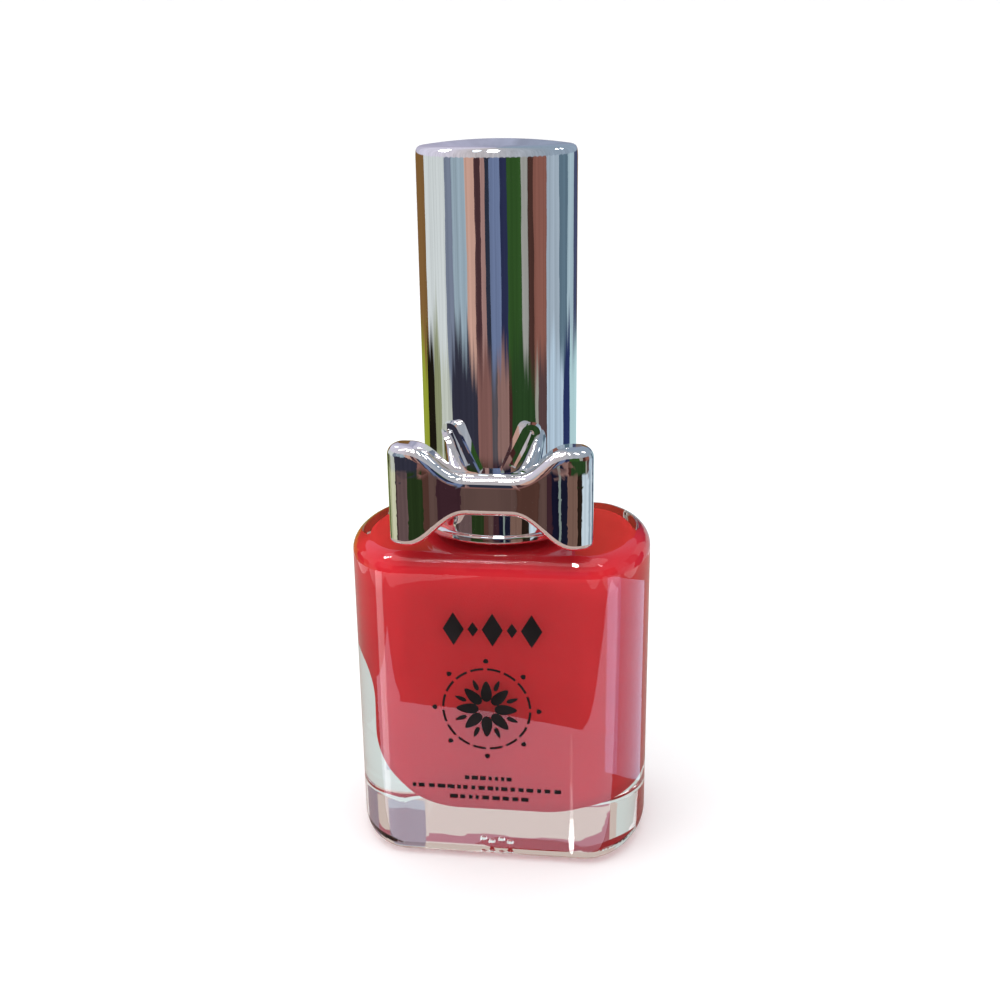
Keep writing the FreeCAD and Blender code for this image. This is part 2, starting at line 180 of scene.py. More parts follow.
def feed(tree, source, socket):
    """Sets a socket to a number, or links another node's output to it."""
    if isinstance(source, (int, float)):
        socket.default_value = source
    else:
        tree.links.new(source, socket)


def object_coords(tree, scale=(1, 1, 1)):
    coords = node(tree, "ShaderNodeTexCoord")
    mapping = node(tree, "ShaderNodeMapping", Scale=scale)
    tree.links.new(coords.outputs["Object"], mapping.inputs["Vector"])
    return mapping.outputs["Vector"]


def noise(tree, vector, scale, detail=3, roughness=0.5):
    n = node(tree, "ShaderNodeTexNoise", Scale=scale, Detail=detail, Roughness=roughness)
    tree.links.new(vector, n.inputs["Vector"])
    return n.outputs["Fac"]


def ramp(tree, value, stops, interpolation="LINEAR"):
    n = node(tree, "ShaderNodeValToRGB")
    n.color_ramp.interpolation = interpolation
    elements = n.color_ramp.elements
    while len(elements) < len(stops):
        elements.new(0.5)
    for element, (position, colour) in zip(elements, stops):
        element.position = position
        element.color = (*colour, 1)
    tree.links.new(value, n.inputs["Fac"])
    return n.outputs["Color"]


def mottle(tree, cloud, low, high, start=0.3, end=0.7):
    """A colour, or a grey level, that a cloud of noise moves from low to high."""
    low, high = (v if isinstance(v, tuple) else (v,) * 3 for v in (low, high))
    return ramp(tree, cloud, [(start, low), (end, high)])


def bump(tree, shader, height, strength, distance, under=None):
    n = node(tree, "ShaderNodeBump", Strength=strength, Distance=distance)
    tree.links.new(height, n.inputs["Height"])
    if under:
        tree.links.new(under, n.inputs["Normal"])
    tree.links.new(n.outputs["Normal"], shader.inputs["Normal"])
    return n.outputs["Normal"]


def arithmetic(tree, operation, *operands):
    """A Math node; each operand is a number or another node's output."""
    n = node(tree, "ShaderNodeMath", {"operation": operation})
    for operand, socket in zip(operands, n.inputs):
        feed(tree, operand, socket)
    return n.outputs[0]


def mix(tree, share, first, second, kind="MIX"):
    """Two colours mixed. The sockets for colours share their names with others, so they go by number."""
    first_socket, second_socket, result = 6, 7, 2
    n = node(tree, "ShaderNodeMix", {"data_type": "RGBA", "blend_type": kind})
    feed(tree, share, n.inputs["Factor"])
    tree.links.new(first, n.inputs[first_socket])
    tree.links.new(second, n.inputs[second_socket])
    return n.outputs[result]


def blend(tree, height, low, high, below, above):
    """One colour under the height low, the other over the height high, in metres."""
    share = node(tree, "ShaderNodeMapRange", From_Min=low, From_Max=high)
    tree.links.new(height, share.inputs["Value"])
    return mix(tree, share.outputs["Result"], below, above)


# ---------------------------------------------------------------- materials
def chrome_material(name, tint, wave, smooth, dull):
    """Plating with a slow wave, in metres, fine upright scratches, and smears between two roughnesses."""
    mat, tree, shader = material(name, Base_Color=(*tint, 1), Metallic=1.0, Roughness=0.04)
    smears = noise(tree, object_coords(tree), 260, detail=5, roughness=0.6)
    tree.links.new(mottle(tree, smears, smooth, dull, 0.35, 0.75), shader.inputs["Roughness"])
    slow = noise(tree, object_coords(tree, (1, 1, 0.35)), 170, detail=2, roughness=0.4)
    wavy = bump(tree, shader, slow, 1.0, wave)
    scratches = noise(tree, object_coords(tree, (1, 1, 0.02)), 9000, detail=2, roughness=0.6)
    bump(tree, shader, scratches, 0.35, 0.0000012, wavy)
    return mat


def glass_material():
    """Clear glass with the slow ripple of a pressed surface."""
    mat, tree, shader = material(
        "clear_glass", Base_Color=(0.975, 0.985, 0.98, 1), Transmission_Weight=1.0, Roughness=0.0, IOR=1.5)
    ripples = noise(tree, object_coords(tree, (1, 1, 0.45)), 130, detail=2, roughness=0.4)
    bump(tree, shader, ripples, 1.0, 0.000035)
    return mat


def lacquer_material(name, specular):
    mat, tree, shader = material(
        name, Base_Color=(0.60, 0.022, 0.032, 1), Roughness=0.22, Specular_IOR_Level=specular)
    cloud = noise(tree, object_coords(tree), 90, detail=4, roughness=0.6)
    colour = mottle(tree, cloud, (0.57, 0.019, 0.028), (0.63, 0.026, 0.036))
    tree.links.new(colour, shader.inputs["Base Color"])
    return mat


def plastic_material(name, dark, light, roughness, grain_scale, grain):
    """Moulded plastic or foam, with a grain of the given scale and depth in metres."""
    mat, tree, shader = material(name, Base_Color=(*light, 1), Roughness=roughness)
    vector = object_coords(tree)
    tree.links.new(mottle(tree, noise(tree, vector, 350, detail=4), dark, light), shader.inputs["Base Color"])
    polish = mottle(tree, noise(tree, vector, 700), roughness * 0.8, roughness * 1.2)
    tree.links.new(polish, shader.inputs["Roughness"])
    bump(tree, shader, noise(tree, vector, grain_scale, detail=2), 0.5, grain)
    return mat


def metal_material(name, dark, light, roughness):
    mat, tree, shader = material(name, Base_Color=(*light, 1), Metallic=1.0, Roughness=roughness)
    vector = object_coords(tree)
    tree.links.new(mottle(tree, noise(tree, vector, 500, detail=4), dark, light), shader.inputs["Base Color"])
    polish = mottle(tree, noise(tree, vector, 900), roughness * 0.7, roughness * 1.5)
    tree.links.new(polish, shader.inputs["Roughness"])
    bump(tree, shader, noise(tree, vector, 4000, detail=2), 0.4, 0.000004)
    return mat


# ---------------------------------------------------------------- camera and studio
def make_camera():
    """The photograph's point of view: close, a little above and to the right, with a slight tilt."""
    azimuth, elevation, roll = math.radians(7.46), math.radians(17.42), math.radians(-0.77)
    aim, distance = Vector((0, 0, 0.042)), 0.14219
    back = Vector((
        math.sin(azimuth) * math.cos(elevation),
        -math.cos(azimuth) * math.cos(elevation),
        math.sin(elevation)))
    right = Vector((math.cos(azimuth), math.sin(azimuth), 0))
    up = back.cross(right)
    turn = Matrix.Rotation(roll, 3, back)
    data = bpy.data.cameras.new("camera")
    data.lens, data.sensor_width = 43.69, 36
    data.shift_x, data.shift_y = -0.00116, -0.0071
    data.clip_start, data.clip_end = 0.005, 20
    cam = bpy.data.objects.new("camera", data)
    axes = Matrix((turn @ right, turn @ up, back)).transposed()
    cam.matrix_world = Matrix.Translation(aim + back * distance) @ axes.to_4x4()
    scene.collection.objects.link(cam)
    scene.camera = cam


def make_world():
    world = bpy.data.worlds.new("studio")
    scene.world = world
    world.use_nodes = True
    background = world.node_tree.nodes["Background"]
    background.inputs["Color"].default_value = (0.97, 0.985, 1.0, 1)
    background.inputs["Strength"].default_value = 1.0
    scene.view_settings.view_transform = "Standard"


def make_backdrop():
    """One pale sheet: level under the bottle and turned up far away all round."""
    profile = [(0.001, FLOOR_Z), (FLOOR_R, FLOOR_Z)]
    for i in range(1, 13):
        a = math.pi / 2 * i / 12
        profile.append((FLOOR_R + FLOOR_CURVE_R * math.sin(a), FLOOR_CURVE_R * (1 - math.cos(a))))
    profile.append((FLOOR_R + FLOOR_CURVE_R, BACKDROP_TOP))
    verts, faces = loft([circle(r, z, 64) for r, z in profile], True, False)
    mat, tree, shader = material("backdrop", Base_Color=(0.93, 0.93, 0.93, 1), Roughness=0.8)
    paper = mottle(tree, noise(tree, object_coords(tree), 40), 0.925, 0.935)
    tree.links.new(paper, shader.inputs["Base Color"])
    shader.inputs["Emission Color"].default_value = (1, 1, 1, 1)
    shader.inputs["Emission Strength"].default_value = 0.12
    add_mesh("backdrop", verts, faces, True, mat)


def seen_only_in(obj, glossy=False, transmission=False):
    """A card that the camera doesn't see: only reflections, or only what is seen through glass."""
    obj.visible_camera = False
    obj.visible_diffuse = False
    obj.visible_glossy = glossy
    obj.visible_transmission = transmission
    obj.visible_shadow = False
    obj.visible_volume_scatter = False


def card(name, corners, colour, strength, tint=None):
    """A flat card that gives off light. With a tint it also lets what is behind it through, tinted."""
    mat, tree, surface = bare_material(name)
    emission = node(tree, "ShaderNodeEmission", Color=(*colour, 1), Strength=strength)
    light = emission.outputs["Emission"]
    if tint:
        clear = node(tree, "ShaderNodeBsdfTransparent", Color=(*tint, 1))
        both = node(tree, "ShaderNodeAddShader")
        tree.links.new(light, both.inputs[0])
        tree.links.new(clear.outputs["BSDF"], both.inputs[1])
        light = both.outputs["Shader"]
    tree.links.new(light, surface)
    return add_mesh(name, corners, [tuple(range(len(corners)))], False, mat)


def reflected_card(name, corners, colour, strength, receivers):
    """A card whose light only the receivers reflect. Other pieces see through it."""
    obj = card(name, corners, colour, strength, (1, 1, 1))
    seen_only_in(obj, glossy=True)
    obj.light_linking.receiver_collection = receivers


def only(name):
    """A collection of one CAD node, for the cards that light nothing else."""
    collection = bpy.data.collections.new(name + "_only")
    collection.objects.link(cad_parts[name])
    return collection


# The drum's colours, from its top down. Each number is a bearing in degrees, from the front and anticlockwise
# seen from above: where a colour starts or, in the sky, where it is pure before it fades into the next.
SKY_CARDS = [
    (-180, (0.26, 0.30, 0.40)), (-160, (0.40, 0.38, 0.50)), (-120, (0.62, 0.60, 0.72)),
    (-70, (0.60, 0.57, 0.66)), (-25, (0.48, 0.44, 0.45)), (30, (0.37, 0.39, 0.43)),
    (90, (0.25, 0.31, 0.38)), (160, (0.25, 0.32, 0.41)), (180, (0.26, 0.30, 0.40)),
]
UPPER_CARDS = [
    (-180, (0.19, 0.10, 0.035)), (-115, (0.56, 0.60, 0.60)), (-70, (0.17, 0.20, 0.27)),
    (-59, (0.28, 0.36, 0.42)), (-37, (0.50, 0.30, 0.24)), (-25, (0.06, 0.028, 0.032)),
    (-18, (0.34, 0.20, 0.18)), (-11, (0.022, 0.027, 0.045)), (-4, (0.13, 0.17, 0.29)),
    (10, (0.02, 0.025, 0.065)), (20, (0.026, 0.07, 0.017)), (38, (0.30, 0.30, 0.28)),
    (48, (0.06, 0.027, 0.022)), (57, (0.22, 0.09, 0.07)), (78, (0.32, 0.39, 0.46)),
    (102, (0.10, 0.16, 0.21)), (121, (0.33, 0.44, 0.50)), (143, (0.05, 0.06, 0.12)),
    (165, (0.19, 0.10, 0.035)),
]
LOWER_CARDS = [
    (-180, (0.26, 0.30, 0.035)), (-122, (0.01, 0.008, 0.005)), (-101, (0.22, 0.24, 0.13)),
    (-85, (0.47, 0.50, 0.44)), (-65, (0.028, 0.028, 0.045)), (-24, (0.19, 0.09, 0.08)),
    (-5, (0.08, 0.07, 0.08)), (4, (0.23, 0.13, 0.115)), (20, (0.05, 0.018, 0.016)),
    (24, (0.02, 0.05, 0.016)), (59, (0.30, 0.30, 0.26)), (64, (0.08, 0.045, 0.045)),
    (78, (0.40, 0.51, 0.61)), (112, (0.02, 0.03, 0.10)), (131, (0.40, 0.58, 0.61)),
]
BOW_CARDS = [
    (-180, (0.26, 0.30, 0.10)), (-120, (0.10, 0.12, 0.05)), (-102, (0.40, 0.42, 0.25)),
    (-85, (0.56, 0.57, 0.40)), (-66, (0.05, 0.03, 0.03)), (-60, (0.114, 0.071, 0.071)),
    (-37, (0.017, 0.032, 0.010)), (-21, (0.076, 0.034, 0.026)), (-13, (0.095, 0.055, 0.048)),
    (-4.5, (0.040, 0.016, 0.022)), (2.5, (0.007, 0.007, 0.020)), (9, (0.19, 0.24, 0.22)),
    (12, (0.008, 0.009, 0.022)), (19, (0.17, 0.098, 0.076)), (36, (0.017, 0.010, 0.007)),
    (47, (0.51, 0.61, 0.68)), (76, (0.30, 0.38, 0.45)), (92, (0.55, 0.64, 0.70)),
    (112, (0.03, 0.04, 0.10)), (131, (0.45, 0.58, 0.61)),
]


def card_colours(tree, bearing, cards, interpolation="CONSTANT"):
    """The colour at a bearing, given as a share of a turn from the back."""
    return ramp(tree, bearing, [((angle + 180) / 360, colour) for angle, colour in cards], interpolation)


def ring_bearing(tree, x, y):
    """The bearing round the drum as a share of a turn from the back, with wavy and jagged edges."""
    waviness, jaggedness = 0.025, 0.014
    angle = arithmetic(tree, "ARCTAN2", x, arithmetic(tree, "MULTIPLY", y, -1))
    share = arithmetic(tree, "MULTIPLY_ADD", angle, 1 / math.tau, 0.5 - (waviness + jaggedness) / 2)
    waves = noise(tree, object_coords(tree, (1, 1, 0.35)), 22, detail=3, roughness=0.55)
    share = arithmetic(tree, "MULTIPLY_ADD", waves, waviness, share)
    jags = noise(tree, object_coords(tree, (1, 1, 0.5)), 95, detail=4, roughness=0.65)
    return arithmetic(tree, "MULTIPLY_ADD", jags, jaggedness, share)


def make_ring():
    """A drum of coloured cards round the bottle. Chrome shows it as upright stripes."""
    loops = [circle(RING_R, z, 128) for z in (0.2, RING_TOP / 2, RING_TOP)]
    verts, faces = loft(loops, False, True)
    mat, tree, surface = bare_material("reflection_cards")
    split = node(tree, "ShaderNodeSeparateXYZ")
    tree.links.new(object_coords(tree), split.inputs["Vector"])
    x, y, z = (split.outputs[axis] for axis in "XYZ")
    bearing = ring_bearing(tree, x, y)
    bow = card_colours(tree, bearing, BOW_CARDS)
    lower = card_colours(tree, bearing, LOWER_CARDS)
    upper = card_colours(tree, bearing, UPPER_CARDS)
    sky = card_colours(tree, bearing, SKY_CARDS, "LINEAR")
    torn = noise(tree, object_coords(tree, (1, 1, 0.2)), 60, detail=3, roughness=0.6)
    ragged = arithmetic(tree, "MULTIPLY_ADD", torn, 0.05, z)
    colour = blend(tree, z, 0.018, 0.020, bow, lower)
    colour = blend(tree, ragged, 0.062, 0.070, colour, upper)
    colour = blend(tree, z, 0.082, 0.084, colour, sky)
    streaks = noise(tree, object_coords(tree, (1, 1, 0.06)), 170, detail=3, roughness=0.6)
    colour = mix(tree, 1.0, colour, mottle(tree, streaks, 0.8, 1.12), "MULTIPLY")
    emission = node(tree, "ShaderNodeEmission", Strength=1.15)
    tree.links.new(colour, emission.inputs["Color"])
    tree.links.new(emission.outputs["Emission"], surface)
    seen_only_in(add_mesh("reflection_ring", verts, faces, False, mat), glossy=True)


def sector(centre, start, end, near, far, z):
    """Corners of part of a level ring, between two bearings from the front and two distances."""
    corners = []
    for distance, bearings in ((near, (start, end)), (far, (end, start))):
        for i in range(9):
            a = math.radians(between(*bearings, i / 8))
            corners.append((centre[0] + distance * math.sin(a), centre[1] - distance * math.cos(a), z))
    return corners


# The bright table in front. Its edge away from the bottle is the slanted edge of light on the glass front.
NEAR_CARD = [
    (-22, -50.6), (-5, -48), (8.3, -44), (29.6, -48.2), (48.7, -51.7), (82.3, -51.5), (99.7, -39.3),
    (99.7, -13), (-60, -13), (-60, -60),
]
# The lamp's middle line on the table, each point with its half width, and the strength of each stretch.
LOW_LAMP = [
    (9.2, -11.9, 0.1), (9.1, -13.5, 0.28), (8.85, -17.0, 0.36), (8.6, -20.5, 0.22), (8.0, -29.0, 0.16),
    (7.1, -42.4, 0.1),
]
LOW_LAMP_STRENGTHS = (14, 26, 12, 3, 1.2)


def make_glass_cards(glass):
    """What the glass reflects: a bright table in front, a window each side and a lamp low on the right."""
    left, right, window_z, lamp_z = (-12.5, -11), (13, -11), 0.3, 0.4
    for name, corners, colour, strength in (
            ("near_card", at_height(NEAR_CARD, CARD_Z), (0.8, 0.8, 1.0), 2.4),
            ("left_window", sector(left, -76, -55, 12, 112, window_z), (1, 0.93, 0.96), 2.8),
            ("right_window", sector(right, 62, 95, 20, 92, window_z), (0.35, 0.6, 1.0), 2.6),
            ("right_wall", sector(right, 95, 150, 20, 92, window_z), (0.5, 0.7, 1.0), 1.3),
            ("white_sky", circle(104, RING_TOP - 2, 48), (1, 0.95, 0.97), 1.1)):
        reflected_card(name, corners, colour, strength, glass)
    for (x0, y0, w0), (x1, y1, w1), strength in zip(LOW_LAMP, LOW_LAMP[1:], LOW_LAMP_STRENGTHS):
        corners = [(x0 - w0, y0), (x0 + w0, y0), (x1 + w1, y1), (x1 - w1, y1)]
        reflected_card("low_lamp", at_height(corners, lamp_z), (1, 1, 1), strength, glass)


# What shows through the clear base and left end: upright cards with two ends, a bottom, a top and a colour.
WARM, COOL, SLATE = (0.60, 0.50, 0.45), (0.62, 0.69, 0.67), (0.40, 0.42, 0.48)
MAUVE, PINK = (0.28, 0.23, 0.28), (0.38, 0.12, 0.15)
TONE_CARDS = {
    # The far card and the floor card stand in for the table behind and under the bottle as the base shows it:
    # its own beige-grey, darkened by painted shade.
    "shaded_far_tone": ((-40, WALL_Y), (60, WALL_Y), 0, WALL_TOP, WARM),
    "left_tone": ((-110, 20), (-40, WALL_Y), 0, WALL_TOP, COOL),
    # The pink card is a painted reflection: it stands in for the lacquer seen in the heel by inner
    # reflection.
    "heel_reflection_tone": ((-28, WALL_Y - 0.1), (60, WALL_Y - 0.1), 45.3, WALL_TOP, PINK),
    "edge_tone": ((15, WALL_Y - 0.2), (60, WALL_Y - 0.2), 0, WALL_TOP, MAUVE),
    "corner_tone": ((-14, BACK_Y), (-11, BACK_Y), 4, 12, MAUVE),
    "slate_tone": ((-14, BACK_Y), (-11, BACK_Y), 2.6, 4, SLATE),
}


def make_tone_cards():
    """A warm dark table in reflections, and the tones that show through the clear base and left end. The
    table's tint is partly its own beige wood and partly painted shade.
    """
    # The table: a tinted sheet that darkens the floor in every reflection; its tint is partly the wood's own
    # colour and partly painted shade.
    table = sector((0, 0), -180, 180, 12, RING_R - 1, CARD_Z / 2)
    seen_only_in(card("table", table, (1, 1, 1), 0.0, (0.45, 0.34, 0.30)), glossy=True)
    # Under the bottle: the table seen through the base, its own colour with painted shade.
    floor = at_height([(-14, -9), (30, -9), (60, WALL_Y), (-22, WALL_Y)], CARD_Z)
    seen_only_in(card("shaded_floor_tone", floor, COOL, 1.0), transmission=True)
    for name, ((x0, y0), (x1, y1), low, high, colour) in TONE_CARDS.items():
        upright = [(x0, y0, low), (x1, y1, low), (x1, y1, high), (x0, y0, high)]
        seen_only_in(card(name, upright, colour, 1.0), transmission=True)


# Small lamps: bearing and elevation in degrees, half width and half height in millimetres, strength, colour.
CAP_SPARKS = [
    (-76, 36, 15, 34, 9, (1, 1, 1)), (-23, 42, 11, 24, 1.5, (0.7, 0.9, 1)),
    (1.8, 40, 15, 36, 14, (1, 1, 1)), (104, 28, 6, 18, 7, (1, 1, 1)), (116, 29, 5, 14, 6, (0.9, 0.95, 1)),
]
BOW_SPARKS = [
    (-20, 62, 2.6, 45, 14, (1, 1, 1)), (-15.6, 60, 0.6, 35, 8, (1, 0.97, 0.94)),
    (-13.2, 56, 0.5, 30, 7, (1, 0.97, 0.94)), (-9.5, 62, 0.9, 40, 10, (1, 1, 1)),
    (-6, 58, 0.7, 30, 7, (1, 0.95, 0.9)), (-66, 50, 5, 30, 6, (1, 0.9, 0.8)),
    (-44, 58, 7, 30, 9, (1, 0.97, 0.92)), (22, 58, 5, 30, 9, (1, 1, 1)),
    (48, 50, 4, 20, 8, (0.95, 0.98, 1)), (80, 48, 6, 16, 7, (1, 0.97, 1)),
    (-105, 45, 7, 12, 5, (0.9, 0.95, 1)),
]
GLASS_SPARKS = [
    (0.7, 60, 0.9, 34, 40, (1, 1, 1)), (-14.1, 60, 0.8, 26, 14, (1, 0.9, 0.9)),
    (-20.6, 56, 0.9, 30, 12, (1, 0.7, 0.9)), (-25.6, 60, 0.9, 26, 10, (1, 0.85, 0.9)),
    (-75, 50, 9, 24, 30, (1, 0.97, 1)), (60, 44, 5, 16, 14, (1, 0.85, 0.95)),
]


def make_sparks(sparks, receivers):
    """Small lamps that glint on the edges of the receivers alone."""
    for bearing, elevation, half_width, half_height, strength, colour in sparks:
        b, e = math.radians(bearing), math.radians(elevation)
        out = Vector((math.sin(b) * math.cos(e), -math.cos(b) * math.cos(e), math.sin(e)))
        side = Vector((math.cos(b), math.sin(b), 0))
        rise = side.cross(out)
        corners = [
            SPARK_CENTRE + out * SPARK_R + side * half_width * x + rise * half_height * y
            for x, y, _ in circle(1, 0, 24)]
        reflected_card("spark", corners, colour, strength, receivers)


def area_light(name, place, aim, size, power):
    """A round lamp; its place and size are in metres."""
    data = bpy.data.lights.new(name, "AREA")
    data.shape, data.size, data.energy = "DISK", size, power
    light = bpy.data.objects.new(name, data)
    light.location = place
    light.rotation_euler = (Vector(aim) - Vector(place)).to_track_quat("-Z", "Y").to_euler()
    scene.collection.objects.link(light)
    return light


def make_lights(glass):
    area_light("overhead", (-0.08, -0.12, 0.6), (0, 0, 0.03), 0.5, 0.8)
    area_light("key", (-0.45, -0.35, 0.6), (0, 0, 0.04), 0.4, 0.6)
    glass_sky = area_light("glass_sky", (0, -0.02, 0.185), (0, 0, 0.03), 0.3, 0.6)
    glass_sky.light_linking.receiver_collection = glass
    glass_sky.visible_glossy = False


def make_studio():
    glass = only("glass_bottle")
    make_camera()
    make_world()
    make_backdrop()
    make_ring()
    make_glass_cards(glass)
    make_tone_cards()
    make_sparks(CAP_SPARKS, only("chrome_overcap"))
    make_sparks(BOW_SPARKS, only("bow_ornament"))
    make_sparks(GLASS_SPARKS, glass)
    make_lights(glass)


# ---------------------------------------------------------------- lacquer
def corner_inset(run, rise, height):
    """How far a rounding of the floor stands in from the wall at a height above the floor."""
    return 0 if height >= rise else run * (1 - math.sqrt(1 - ((rise - height) / rise) ** 2))


def cavity_loop(z):
    """The cavity's outline at a height: slanted and thick-walled low on the left, as in the CAD."""
    side_points, end_points = 20, 52
    height = z - CAVITY_FLOOR
    share = min(max((THIN_ABOVE - z) / (THIN_ABOVE - THICK_BELOW), 0), 1)
    thick = share * share * (3 - 2 * share)
    depth = CAVITY_HALF_DEPTH - corner_inset(*FLOOR_ROUND_DEPTH, height)
    scale = depth / CAVITY_HALF_DEPTH
    end_start, end_pull = PLAIN_END
    inset = corner_inset(*FLOOR_ROUND_LEFT, height)
    front = inset - between(end_start, THICK_END_FRONT[0], thick)
    back = inset * FLOOR_ROUND_LEFT_BACK - between(end_start, THICK_END_BACK[0], thick)
    front_pull = between(end_pull, THICK_END_FRONT[1], thick) * scale
    back_pull = between(end_pull, THICK_END_BACK[1], thick) * scale
    right = end_start - corner_inset(*FLOOR_ROUND_RIGHT, height)
    pull = end_pull * scale
    return (
        straight((front, -depth), (right, -depth), side_points)
        + curve((right, -depth), (right + pull, -depth), (right + pull, depth), (right, depth), end_points)
        + straight((right, depth), (back, depth), side_points)
        + curve(
            (back, depth), (back - back_pull, depth), (front - front_pull, -depth), (front, -depth),
            end_points))


def cavity_rings():
    """Rings up the cavity's wall, each just inside the glass."""
    floor_steps, wall_steps, ceiling_steps = 28, 30, 8
    rise = FLOOR_ROUND_LEFT[1]
    round_start = CAVITY_CEILING - CEILING_ROUND
    levels = [CAVITY_FLOOR + rise * (1 - math.cos(math.pi / 2 * i / floor_steps)) for i in range(floor_steps)]
    levels += [between(CAVITY_FLOOR + rise, round_start, i / wall_steps) for i in range(wall_steps)]
    rings = []
    for z in levels:
        up = (z - CAVITY_FLOOR) / (CAVITY_CEILING - CAVITY_FLOOR)
        rings.append(at_height(grow(cavity_loop(z), WET), z - WET + 2 * WET * up))
    for i in range(ceiling_steps + 1):
        a = math.pi / 2 * i / ceiling_steps
        loop = grow(cavity_loop(round_start), WET - CEILING_ROUND * (1 - math.cos(a)))
        rings.append(at_height(loop, round_start + (CEILING_ROUND + WET) * math.sin(a)))
    return rings


def make_lacquer():
    """The liquid, wet against the glass up to the ceiling, with a meniscus and a well for the brush."""
    rings = cavity_rings()
    # Radii and heights of the meniscus, the surface in the neck, and the well.
    neck = [
        (NECK_BORE_R + 2.5, CAVITY_CEILING + WET), (NECK_BORE_R + 0.3, CAVITY_CEILING + WET),
        (NECK_BORE_R + 0.05, LIQUID_LEVEL + 0.45), (NECK_BORE_R - 0.25, LIQUID_LEVEL + 0.12),
        (NECK_BORE_R - 0.7, LIQUID_LEVEL), (WELL_R + 0.25, LIQUID_LEVEL), (WELL_R, LIQUID_LEVEL - 0.15),
        (WELL_R, WELL_FLOOR)]
    top = rings[-1]
    rings += [circle_like(top, r, z) for r, z in neck]
    verts, faces = loft(rings)
    obj = add_mesh("lacquer", verts, faces, True, lacquer_material("lacquer_in_glass", 0.0))
    obj.data.materials.append(lacquer_material("lacquer_surface", 0.5))
    for p in obj.data.polygons:
        x, y, z = p.center / MM
        if math.hypot(x, y) < NECK_BORE_R + 0.2 and z > WELL_FLOOR - 1:
            p.material_index = 1
    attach(obj, "bottle")
    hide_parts("nail_lacquer")


# ---------------------------------------------------------------- print on the glass
def add_prism(verts, faces, outline):
    """One flat shape of ink, from points (x, z), sunk a hair into the glass front."""
    first, count = len(verts), len(outline)
    for y in (-BODY_HALF_DEPTH - INK_OUT, -BODY_HALF_DEPTH + INK_IN):
        verts.extend((x, y, z) for x, z in outline)
    faces.append(tuple(range(first, first + count)))
    faces.append(tuple(reversed(range(first + count, first + 2 * count))))
    for i in range(count):
        j = (i + 1) % count
        faces.append((first + i, first + count + i, first + count + j, first + j))


def lozenge(x, z, half_width, half_height):
    return [(x - half_width, z), (x, z - half_height), (x + half_width, z), (x, z + half_height)]


def dash(x, z, length, half_height):
    low, high, end = z - half_height, z + half_height, x + length
    return [(x, low), (end, low), (end, high), (x, high)]


def petal(centre, bearing, start, end, half_width):
    """A leaf shape that points away from the centre."""
    outline = []
    for i in range(16):
        t = math.tau * i / 16
        along = (start + end) / 2 + (end - start) / 2 * math.cos(t)
        across = half_width * math.sin(t) * (1 - 0.35 * math.cos(t))
        outline.append((
            centre[0] + along * math.cos(bearing) - across * math.sin(bearing),
            centre[1] + along * math.sin(bearing) + across * math.cos(bearing)))
    return outline


def arc(centre, start, end, inner, outer):
    """Part of a flat ring between two bearings in radians."""
    turn = [between(start, end, i / 6) for i in range(7)]
    inside = [(centre[0] + inner * math.cos(a), centre[1] + inner * math.sin(a)) for a in turn]
    outside = [(centre[0] + outer * math.cos(a), centre[1] + outer * math.sin(a)) for a in reversed(turn)]
    return inside + outside


def make_print():
    """Generic black ornament: lozenges, a rosette in a broken ring, and three rows of plain dashes."""
    verts, faces = [], []
    small, large = (0.6, 0.9), (1.2, 2.0)
    for x, size in ((-4.1, large), (-1.9, small), (0.3, large), (2.5, small), (4.7, large)):
        add_prism(verts, faces, lozenge(x, 29.6, *size))
    centre, petals, arcs = (-0.5, 19.8), 8, 16
    for i in range(petals):
        bearing = math.tau * i / petals
        add_prism(verts, faces, petal(centre, bearing, 0.9, 3.5, 0.62))
        add_prism(verts, faces, petal(centre, bearing + math.pi / petals, 2.5, 3.9, 0.26))
        add_prism(verts, faces, petal(centre, bearing, 5.7, 6.3, 0.3))
    for i in range(arcs):
        start = math.tau * (i + 0.15) / arcs
        add_prism(verts, faces, arc(centre, start, start + math.tau * 0.78 / arcs, 4.85, 5.13))
    for z, left, right in ((10.9, -3.2, 2.2), (9.6, -9.4, 8.0), (8.35, -5.0, 4.2)):
        x = left
        while x < right:
            length = random.uniform(0.35, 0.95)
            add_prism(verts, faces, dash(x, z, length, 0.26))
            x += length + random.uniform(0.22, 0.5)
    ink = plastic_material("print_ink", (0.004, 0.003, 0.004), (0.012, 0.009, 0.011), 0.45, 3000, 0.000004)
    ink.node_tree.nodes["Principled BSDF"].inputs["Specular IOR Level"].default_value = 0.2
    obj = add_mesh("glass_print", verts, faces, False, ink)
    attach(obj, "bottle")


# ---------------------------------------------------------------- brush
# Heights and radii down the bundle of bristles, from the stem's hole to the tip.
BUNDLE = [
    (22.3, 0.93), (18.5, 0.93), (16.0, 1.18), (13.5, 1.48), (11.5, 1.58), (9.5, 1.5), (8.0, 1.22), (7.1, 0.8),
]


def bundle_radius(z):
    """Radius of the bundle of bristles at a height."""
    for (high, r_high), (low, r_low) in zip(BUNDLE, BUNDLE[1:]):
        if z >= low:
            return between(r_low, r_high, min((z - low) / (high - low), 1))
    return BUNDLE[-1][1]


